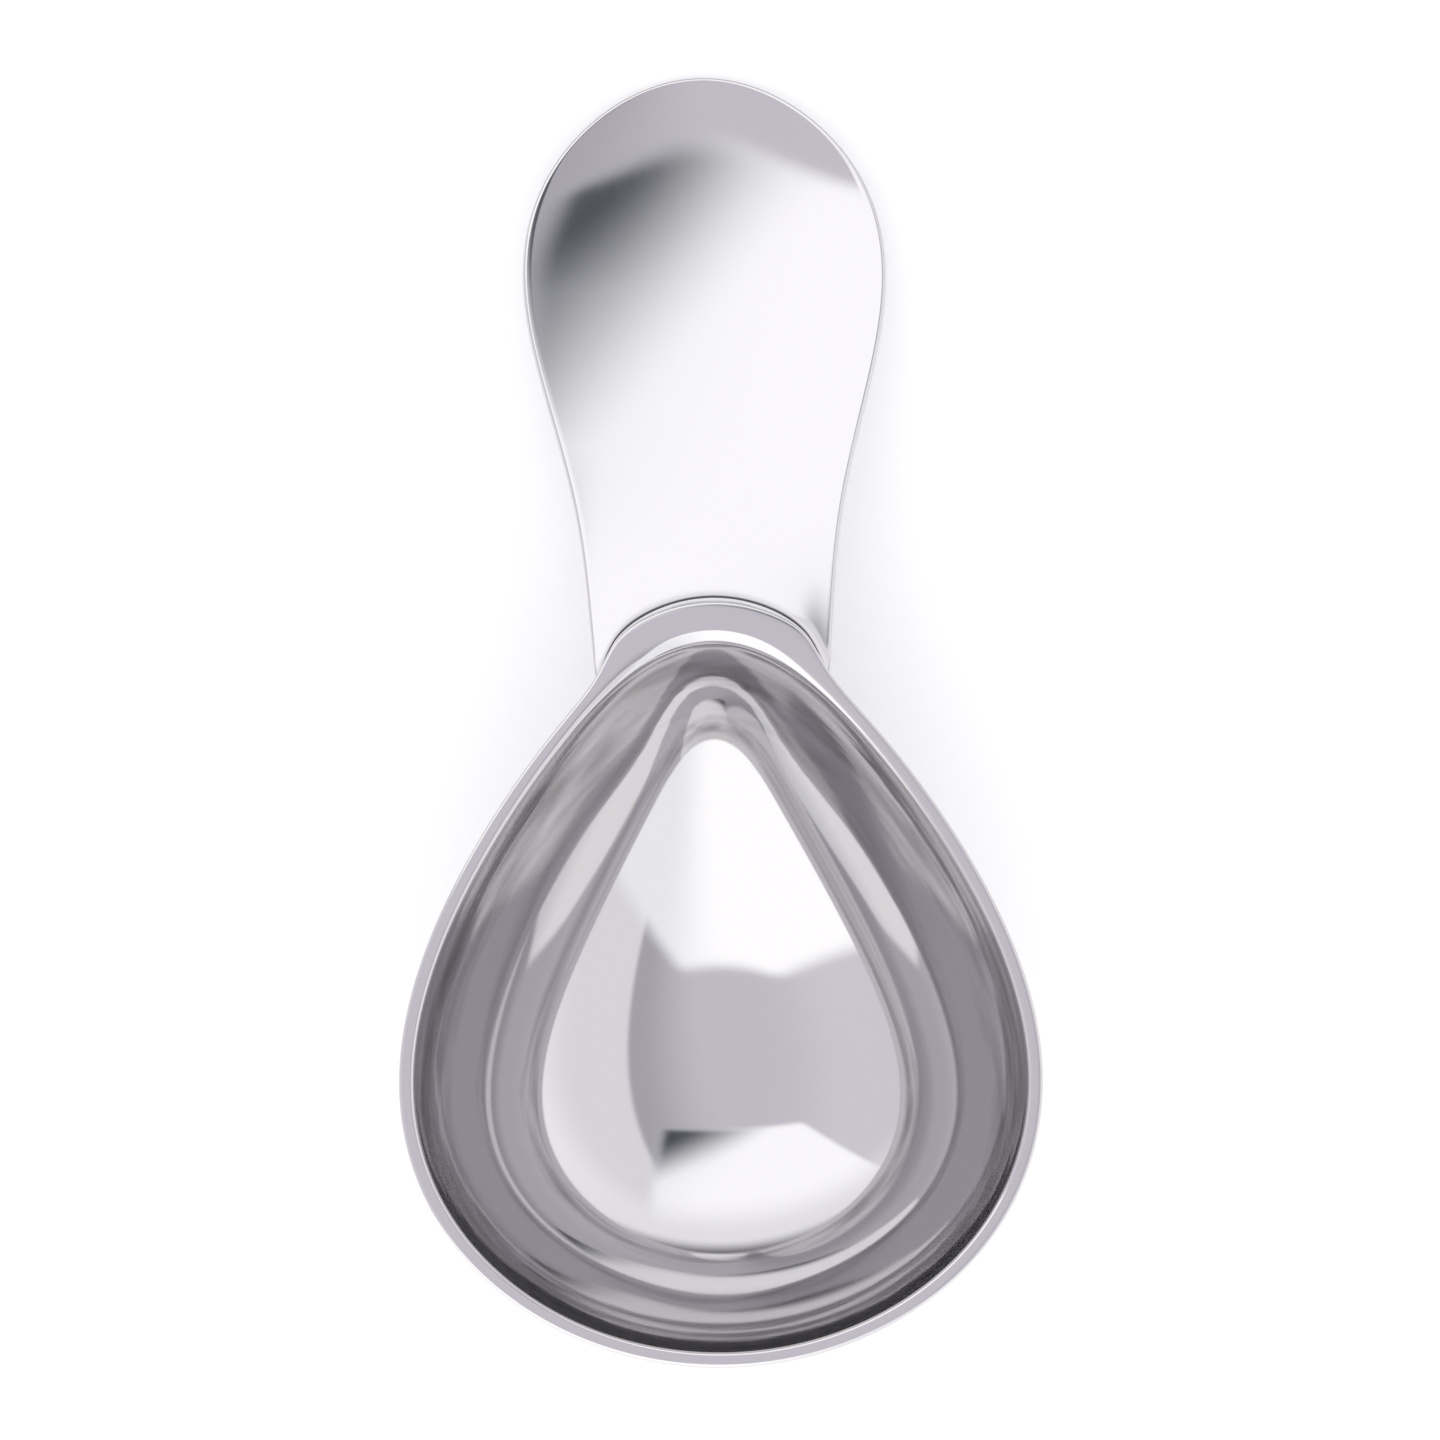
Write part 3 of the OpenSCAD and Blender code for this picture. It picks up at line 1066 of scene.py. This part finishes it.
@dataclass(frozen=True)
class WeldSizes:
    """The weld bead's sizes, in millimetres, shares and counts."""

    width: float = 0.9
    height: float = 1.5
    reach_share: float = 0.7
    hollow_share: float = 0.25
    ripple: float = 0.05
    ripple_end_power: int = 8
    ripples: int = 26
    along: int = 208
    across: int = 10


class WeldBead:
    """The fillet weld under the neck, with the ripples that it froze in."""

    node = "weld_bead"

    def __init__(self, size: WeldSizes, handle: HandleShape, pose: RestPose) -> None:
        """Take what the bead's shape follows.

        Args:
            size: The bead's sizes.
            handle: The handle that it joins to the bowl.
            pose: The pose at rest.
        """
        self.size = size
        self.handle = handle
        self.pose = pose

    def build(self, steel: bpy.types.Material) -> bpy.types.Object:
        """Build the bead between the bowl's wall and the tongue's underside.

        Args:
            steel: The bead's material.

        Returns:
            The finished piece.
        """
        s, bowl = self.size, self.handle.bowl
        b = bowl.size
        share = np.linspace(-1, 1, s.along + 1)
        turn = share * self.handle.neck_turn * s.reach_share
        ceiling = -b.sheet - self.handle.size.sheet
        start = b.sheet * (1 + self.handle.size.tongue_gap_share) + bowl.hollow_radius(turn)
        far = np.stack(bowl.rim(turn, start + s.width, ceiling + 0 * turn), -1)
        corner = np.stack(bowl.rim(turn, start, ceiling + 0 * turn), -1)
        low = self.wall(turn, ceiling - s.height)
        high = self.wall(turn, ceiling)
        high[:, 2] = np.minimum(high[:, 2], ceiling)
        wave = np.cos(share * math.pi * s.ripples) * s.ripple * (1 - share**s.ripple_end_power)
        rings = [high, corner, far]
        for t in np.linspace(0, 1, s.across + 1)[1:-1]:
            sag = s.hollow_share * 4 * t * (1 - t)
            skin = mix(mix(far, low, t), corner, sag)
            out = far - corner
            out /= np.linalg.norm(out, axis=-1, keepdims=True)
            rings.append(skin + out * (wave * math.sin(math.pi * t))[:, None])
        rings.append(low)
        block = np.stack(rings, 1)
        n, m = block.shape[1], block.shape[0]
        mesh = bpy.data.meshes.new("weld_bead")
        faces = [
            (r * n + c, r * n + (c + 1) % n, (r + 1) * n + (c + 1) % n, (r + 1) * n + c)
            for r in range(m - 1)
            for c in range(n)
        ]
        faces += [tuple(range(n)), tuple((m - 1) * n + c for c in reversed(range(n)))]
        mesh.from_pydata(self.pose.place(block.reshape(-1, 3)).tolist(), [], faces)
        mesh.materials.append(steel)
        return add_piece("weld_bead_ripples", mesh)

    def wall(self, turn: np.ndarray, height: float) -> np.ndarray:
        """Points of the bowl's outside wall that lie near a height."""
        bowl = self.handle.bowl
        return np.stack(bowl.outside(bowl.angle_at(-height, turn), turn), -1)


@dataclass(frozen=True)
class DrawLinesAndPaintedStreaks:
    """Draw lines up the inside of the bowl's wall, as bumps, and painted dark reflection streaks in
    the steel's colour along the same lines.

    Attributes:
        lengths: Their length across, along and up the level scoop, in metres.
        detail: How finely they branch.
        depth: Their depth, in metres.
        shade: How much the painted dark reflection streaks darken the steel's colour.
        worn: How strong a line starts to darken the steel's colour as a painted streak, and does so
            fully.
        spans: Heights over the rim, in metres, between which they come in and go out.
        facing: How far up the inside's faces must look, as a cosine, to carry them.
    """

    lengths: tuple[float, float, float] = (0.012, 0.012, 0.0024)
    detail: float = 2.0
    depth: float = 2.5e-5
    shade: float = 0.6
    worn: tuple[float, float] = (0.3, 0.75)
    spans: tuple[tuple[float, float], ...] = ((-0.0125, -0.006), (-0.0012, -0.0026))
    facing: float = 0.06


@dataclass(frozen=True)
class Steel:
    """A finish of stainless steel.

    Attributes:
        name: The material's name.
        colour: What the bare metal reflects.
        metal: Share of bare metal, the rest being the film that handling leaves.
        roughness: Lowest and highest roughness.
        grain: Length of the polishing lines across, along and up the level scoop, in metres.
        grain_depth: Depth of the polishing lines, in metres.
        wave: Length of the sheet's slight waviness, in metres.
        wave_depth: Depth of that waviness, in metres.
        marks: Draw lines up the bowl's wall, as bumps, with painted dark reflection streaks in the
            colour, if there are any.
        grain_detail: How finely the polishing lines branch.
        wave_detail: How finely the waviness branches.
    """

    name: str
    colour: tuple[float, float, float]
    metal: float
    roughness: tuple[float, float]
    grain: tuple[float, float, float]
    grain_depth: float
    wave: float
    wave_depth: float
    marks: DrawLinesAndPaintedStreaks | None = None
    grain_detail: float = 3.0
    wave_detail: float = 1.0

    def material(self, pose: RestPose) -> bpy.types.Material:
        """Build the finish as a procedural material.

        Args:
            pose: The pose at rest.

        Returns:
            The new material.
        """
        made = bpy.data.materials.new(self.name)
        made.use_nodes = True
        tree = made.node_tree
        shader = tree.nodes["Principled BSDF"]
        shader.inputs["Metallic"].default_value = self.metal
        shader.inputs["Base Color"].default_value = (*self.colour, 1.0)
        place = add_node(tree, "ShaderNodeTexCoord").outputs["Object"]

        def level(lengths: tuple[float, float, float]) -> bpy.types.NodeSocket:
            """Place on the level scoop, counted in lengths along its axes.

            Args:
                lengths: The lengths, in metres.

            Returns:
                The place's socket.
            """
            turn = (-pose.lean, 0.0, 0.0)
            inputs = {"Vector": place, "Location": pose.offset, "Rotation": turn, "Scale": lengths}
            return add_node(tree, "ShaderNodeMapping", inputs, vector_type="TEXTURE").outputs[0]

        def noise(lengths: tuple[float, float, float], detail: float) -> bpy.types.NodeSocket:
            """Noise over the level scoop, with these lengths along its axes."""
            inputs = {"Vector": level(lengths), "Scale": 1.0, "Detail": detail}
            return add_node(tree, "ShaderNodeTexNoise", inputs).outputs["Fac"]

        def ramp(value: Any, span: tuple[float, float], to: tuple[float, float]) -> Any:
            """Spread one span of a value over another.

            Args:
                value: The value's socket.
                span: The span that it comes from.
                to: The span that it goes to.

            Returns:
                The new value's socket.
            """
            ends = {"From Min": span[0], "From Max": span[1], "To Min": to[0], "To Max": to[1]}
            return add_node(tree, "ShaderNodeMapRange", {"Value": value, **ends}).outputs["Result"]

        grain = noise(self.grain, self.grain_detail)
        tree.links.new(ramp(grain, (0.0, 1.0), self.roughness), shader.inputs["Roughness"])
        waves = noise((self.wave,) * 3, self.wave_detail)
        bumps = [(grain, self.grain_depth), (waves, self.wave_depth)]
        if self.marks:
            looks = add_node(tree, "ShaderNodeNewGeometry").outputs["Normal"]
            both = {0: looks, 1: (0.0, math.sin(pose.lean), math.cos(pose.lean))}
            facing = add_node(tree, "ShaderNodeVectorMath", both, operation="DOT_PRODUCT")
            metres = add_node(tree, "ShaderNodeSeparateXYZ", {0: level((1.0, 1.0, 1.0))})
            where = [(metres.outputs["Z"], span) for span in self.marks.spans]
            where.append((facing.outputs["Value"], (0.0, self.marks.facing)))
            lines_and_painted_streaks_mask = noise(self.marks.lengths, self.marks.detail)
            for source, span in where:
                lines_and_painted_streaks_mask = combine(tree, "MULTIPLY", lines_and_painted_streaks_mask, ramp(source, span, (0.0, 1.0)))
            # Painted shade: strong draw lines darken the steel's colour towards black, as painted
            # dark reflection streaks up the wall.
            shade = ramp(lines_and_painted_streaks_mask, self.marks.worn, (0.0, self.marks.shade))
            painted_streak_colour = blend(tree, shade, (*self.colour, 1.0), (0.0, 0.0, 0.0, 1.0))
            tree.links.new(painted_streak_colour, shader.inputs["Base Color"])
            bumps.append((lines_and_painted_streaks_mask, self.marks.depth))
        under: dict[str, bpy.types.NodeSocket] = {}
        for height, depth in bumps:
            bump = add_node(tree, "ShaderNodeBump", {"Height": height, "Distance": depth, **under})
            under = {"Normal": bump.outputs["Normal"]}
        tree.links.new(under["Normal"], shader.inputs["Normal"])
        return made


POLISHED = (0.69, 0.675, 0.685)
BOWL_STEEL = Steel(
    name="polished_bowl_steel",
    colour=POLISHED,
    metal=0.95,
    roughness=(0.03, 0.07),
    grain=(8e-3, 8e-3, 3e-4),
    grain_depth=3e-7,
    wave=0.016,
    wave_depth=4e-6,
    marks=DrawLinesAndPaintedStreaks(),
)
HANDLE_STEEL = Steel(
    name="polished_handle_steel",
    colour=POLISHED,
    metal=0.95,
    roughness=(0.035, 0.07),
    grain=(2e-4, 6e-3, 6e-3),
    grain_depth=2e-7,
    wave=0.016,
    wave_depth=3e-6,
)
WELD_STEEL = Steel(
    name="ground_weld_steel",
    colour=(0.6, 0.58, 0.57),
    metal=1.0,
    roughness=(0.25, 0.45),
    grain=(3e-4, 3e-4, 3e-4),
    grain_depth=4e-6,
    wave=0.0025,
    wave_depth=2e-5,
)


@dataclass(frozen=True)
class Edge:
    """A great circle across the light tent, seen from the scoop.

    Attributes:
        toward: Azimuth, from +Y towards +X, of the side that counts as inside.
        start: Zenith angle at which the inside starts there.
        soft: Half the width of the edge's fade. All are in degrees.
    """

    toward: float
    start: float
    soft: float

    def normal(self) -> Vector:
        """Direction square to the circle.

        Returns:
            The direction that points to its inside.
        """
        a, t = math.radians(self.toward), math.radians(self.start)
        return Vector((math.sin(a) * math.cos(t), math.cos(a) * math.cos(t), -math.sin(t)))


@dataclass(frozen=True)
class Patch:
    """A light panel, or a wall of the tent, that lies inside all of its edges.

    Attributes:
        edges: The edges.
        colour: Colour times brightness.
    """

    edges: tuple[Edge, ...]
    colour: tuple[float, float, float]


BACK_BOX = (Edge(0.0, 28.5, 1.0), Edge(35.5, 11.4, 1.0), Edge(-73.4, -6.3, 2.5))
FRONT_BOX = (Edge(180.0, 9.0, 2.0), Edge(156.0, 0.0, 2.0), Edge(-143.0, 0.0, 2.0))
TENT = (
    Patch((Edge(-90.0, 25.0, 15.0),), (0.86, 0.83, 0.90)),
    Patch((Edge(80.0, 14.0, 10.0),), (0.52, 0.50, 0.56)),
    Patch((Edge(80.0, 27.5, 1.2),), (0.99, 0.98, 1.02)),
    Patch((Edge(60.0, 60.0, 12.0),), (1.21, 1.21, 1.23)),
    Patch(BACK_BOX, (1.10, 1.13, 1.19)),
    Patch((*BACK_BOX, Edge(-60.0, 12.0, 14.0)), (1.40, 1.41, 1.42)),
    Patch((*BACK_BOX, Edge(142.1, -25.2, 6.0)), (0.07, 0.08, 0.10)),
    Patch((Edge(0.0, 60.0, 10.0),), (1.10, 1.10, 1.12)),
    Patch((Edge(0.0, 77.0, 5.0),), (0.10, 0.10, 0.12)),
    Patch(FRONT_BOX, (1.16, 1.19, 1.23)),
    Patch((*FRONT_BOX, Edge(-100.0, -8.0, 14.0)), (1.48, 1.49, 1.49)),
)


@dataclass(frozen=True)
class Studio:
    """The white floor, the light tent and the camera above the scoop, in metres and degrees."""

    ceiling: tuple[float, float, float] = (0.75, 0.72, 0.79)
    patches: tuple[Patch, ...] = TENT
    tent_middle: tuple[float, float, float] = (0.0, -0.02, 0.01)
    tent_radius: float = 0.75
    tent_splits: int = 5
    floor_size: float = 6.0
    floor_colour: float = 0.85
    floor_roughness: float = 0.9
    floor_lift: float = 0.28
    camera_height: float = 0.6
    camera_span: tuple[float, float] = (0.01, 50.0)
    sensor_width: float = 0.036
    frame_width: float = 0.11866
    camera_roll: float = 1.2

    def build(self, target: Vector) -> None:
        """Build the studio round the scoop.

        Args:
            target: The place that the camera looks down on.
        """
        self.floor()
        self.tent()
        self.backdrop()
        self.camera(target)

    def prop(self, name: str, mesh: bpy.types.Mesh) -> bpy.types.Object:
        """Link a mesh as part of the studio.

        Args:
            name: The prop's name.
            mesh: Its mesh.

        Returns:
            The linked object.
        """
        made = bpy.data.objects.new(name, mesh)
        bpy.context.scene.collection.objects.link(made)
        return made

    def floor(self) -> None:
        """Lay a large white floor, lifted to white where the camera or the steel sees it."""
        half = self.floor_size / 2
        mesh = bpy.data.meshes.new("floor")
        corners = [(-half, -half, 0), (half, -half, 0), (half, half, 0), (-half, half, 0)]
        mesh.from_pydata(corners, [], [(0, 1, 2, 3)])
        self.prop("floor", mesh)
        made = bpy.data.materials.new("white_floor")
        made.use_nodes = True
        tree = made.node_tree
        shader = tree.nodes["Principled BSDF"]
        shader.inputs["Base Color"].default_value = (*(self.floor_colour,) * 3, 1.0)
        shader.inputs["Roughness"].default_value = self.floor_roughness
        shader.inputs["Specular IOR Level"].default_value = 0.0
        shader.inputs["Emission Color"].default_value = (1.0, 1.0, 1.0, 1.0)
        rays = add_node(tree, "ShaderNodeLightPath").outputs
        seen = rays["Is Camera Ray"]
        for kind in ("Is Glossy Ray", "Is Transmission Ray"):
            seen = combine(tree, "MAXIMUM", seen, rays[kind])
        lift = combine(tree, "MULTIPLY", seen, self.floor_lift)
        tree.links.new(lift, shader.inputs["Emission Strength"])
        mesh.materials.append(made)

    def tent(self) -> None:
        """Hang the light tent, a dome whose walls and panels glow softly."""
        work = bmesh.new()
        bmesh.ops.create_icosphere(work, subdivisions=self.tent_splits, radius=self.tent_radius)
        mesh = bpy.data.meshes.new("light_tent")
        work.to_mesh(mesh)
        work.free()
        tent = self.prop("light_tent", mesh)
        tent.location = self.tent_middle
        tent.visible_camera = False
        made = bpy.data.materials.new("tent_cloth")
        made.use_nodes = True
        made.cycles.emission_sampling = "NONE"
        tree = made.node_tree
        tree.nodes.remove(tree.nodes["Principled BSDF"])
        place = add_node(tree, "ShaderNodeTexCoord").outputs["Object"]
        way = add_node(tree, "ShaderNodeVectorMath", {0: place}, operation="NORMALIZE").outputs[0]
        edges = dict.fromkeys(edge for patch in self.patches for edge in patch.edges)
        masks = {edge: self.half_space(tree, way, edge) for edge in edges}
        colour: Any = (*self.ceiling, 1.0)
        for patch in self.patches:
            mask = masks[patch.edges[0]]
            for edge in patch.edges[1:]:
                mask = combine(tree, "MULTIPLY", mask, masks[edge])
            colour = blend(tree, mask, colour, (*patch.colour, 1.0))
        glow = add_node(tree, "ShaderNodeEmission", {"Color": colour})
        tree.links.new(glow.outputs[0], tree.nodes["Material Output"].inputs["Surface"])
        mesh.materials.append(made)

    @staticmethod
    def half_space(
        tree: bpy.types.NodeTree, way: bpy.types.NodeSocket, edge: Edge
    ) -> bpy.types.NodeSocket:
        """A mask that is 1 where directions lie inside an edge.

        Args:
            tree: The material's nodes.
            way: The directions.
            edge: The edge.

        Returns:
            The mask.
        """
        inputs = {0: way, 1: edge.normal()}
        dot = add_node(tree, "ShaderNodeVectorMath", inputs, operation="DOT_PRODUCT")
        reach = math.sin(math.radians(edge.soft))
        inputs = {"Value": dot.outputs["Value"], "From Min": -reach, "From Max": reach}
        ramp = add_node(tree, "ShaderNodeMapRange", inputs, interpolation_type="SMOOTHSTEP")
        return ramp.outputs["Result"]

    def backdrop(self) -> None:
        """Set a plain white world beyond the tent."""
        world = bpy.data.worlds.new("backdrop")
        bpy.context.scene.world = world
        world.use_nodes = True
        world.node_tree.nodes["Background"].inputs["Color"].default_value = (1.0, 1.0, 1.0, 1.0)

    def camera(self, target: Vector) -> None:
        """Hang the camera straight above the target.

        Args:
            target: The place at the middle of its picture.
        """
        data = bpy.data.cameras.new("camera")
        camera = bpy.data.objects.new("camera", data)
        bpy.context.scene.collection.objects.link(camera)
        data.sensor_fit = "HORIZONTAL"
        data.sensor_width = self.sensor_width / MM
        data.lens = data.sensor_width * self.camera_height / self.frame_width
        data.clip_start, data.clip_end = self.camera_span
        camera.location = target + Vector((0, 0, self.camera_height))
        camera.rotation_euler = (0.0, 0.0, -math.radians(self.camera_roll))
        bpy.context.scene.camera = camera
        bpy.context.scene.view_settings.view_transform = "Standard"


def dress(piece: bpy.types.Object, node: str, slot: Slot) -> None:
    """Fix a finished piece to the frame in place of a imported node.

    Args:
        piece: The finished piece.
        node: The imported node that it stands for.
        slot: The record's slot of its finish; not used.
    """
    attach(piece, BODY)
    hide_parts(node)
    slot.value
    log.info("%s: %d faces", piece.name, len(piece.data.polygons))


def main() -> None:
    """Build the scoop and its studio."""
    logging.basicConfig(level=logging.INFO, format="%(name)s %(message)s")
    bowl_sizes = BowlSizes()
    shape = BowlShape(bowl_sizes, np)
    pose = RestPose.from_record(frame["record"], shape.rim(0.0, LAND_MOUNT_OUT, 0.0)[1])
    handle = HandleShape(HandleSizes(), shape)
    dress(Bowl(bowl_sizes, pose).build(BOWL_STEEL.material(pose)), Bowl.node, Slot.BOWL)
    dress(Handle(handle, pose).build(HANDLE_STEEL.material(pose)), Handle.node, Slot.HANDLE)
    bead = WeldBead(WeldSizes(), handle, pose)
    dress(bead.build(WELD_STEEL.material(pose)), WeldBead.node, Slot.WELD)
    Studio().build(Vector(pose.place(np.array([PICTURE_MIDDLE]))[0]))


if __name__ == "__main__":
    main()
